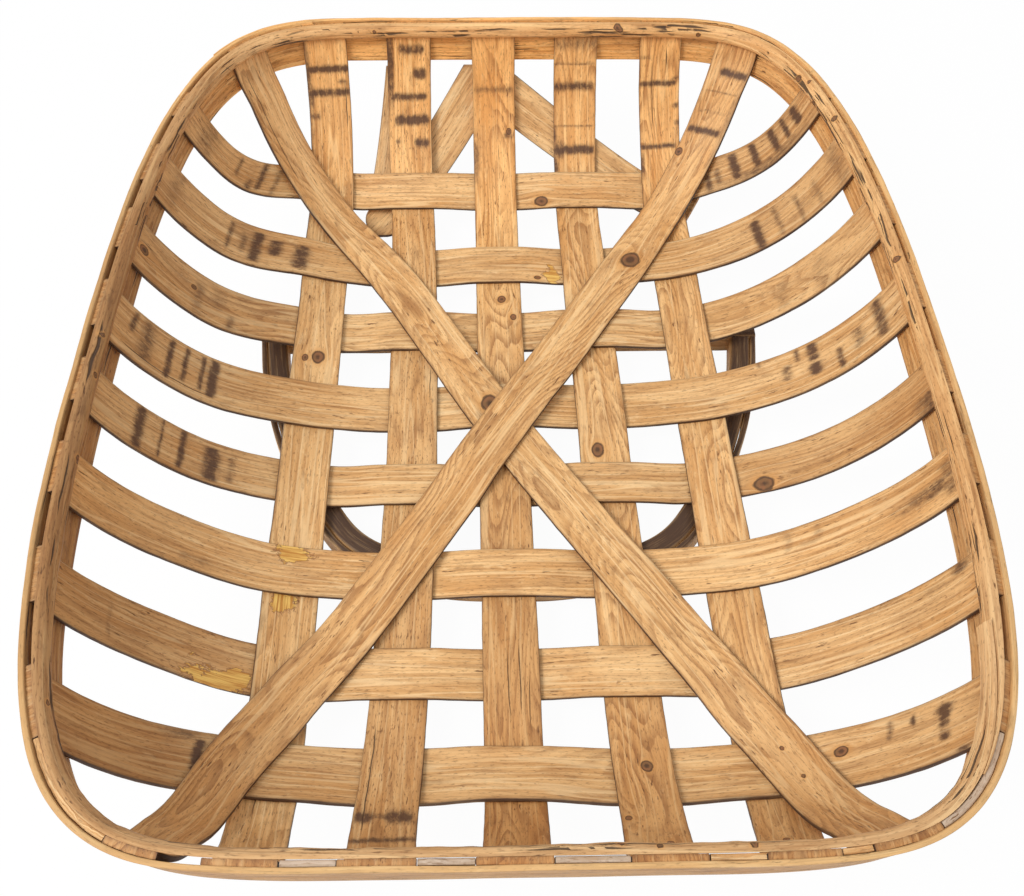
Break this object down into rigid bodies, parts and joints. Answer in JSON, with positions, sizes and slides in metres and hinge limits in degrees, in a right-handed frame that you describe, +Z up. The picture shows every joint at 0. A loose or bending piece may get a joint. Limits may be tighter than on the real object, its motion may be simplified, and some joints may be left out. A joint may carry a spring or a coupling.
{
  "type": "tobacco tray",
  "caption": "Shallow woven wooden tray with rounded corners: flat crossing splints, diagonal splints laid over them, a bent wooden rim and a bent foot under the floor.",
  "frame": {"origin": "centre of the tray's outline, on the surface that its foot rests on", "axes": "+Z up out of the open side, +Y along the length towards the end with the wall braces, +X across to the right"},
  "size_m": [0.5982, 0.7468, 0.1616],
  "materials": {
    "splint_honey": "matte",
    "splint_light": "matte",
    "splint_brown": "matte",
    "rim_wood": "matte",
    "foot_wood": "matte"
  },
  "bodies": {
    "root": {"long_splint_1": "splint_honey", "long_splint_2": "splint_honey", "long_splint_3": "splint_light", "long_splint_4": "splint_light", "long_splint_5": "splint_honey", "cross_splint_1": "splint_honey", "cross_splint_2": "splint_honey", "cross_splint_3": "splint_honey", "cross_splint_4": "splint_honey", "cross_splint_5": "splint_brown", "cross_splint_6": "splint_brown", "cross_splint_7": "splint_brown", "cross_splint_8": "splint_brown", "diagonal_splint_lower": "splint_brown", "diagonal_splint_upper": "splint_honey", "rim_band": "rim_wood", "rim_hoop": "rim_wood", "rim_filler_near_1": "rim_wood", "rim_filler_near_2": "rim_wood", "rim_filler_near_3": "rim_wood", "rim_filler_near_4": "splint_honey", "rim_filler_near_5": "splint_honey", "rim_filler_right_corner": "foot_wood", "rim_filler_left_corner": "rim_wood", "far_backing_splint": "splint_honey", "far_brace_left": "splint_honey", "far_brace_right": "splint_honey", "foot_band": "foot_wood", "foot_bow": "foot_wood", "foot_bar": "foot_wood"}
  },
  "joints": []
}
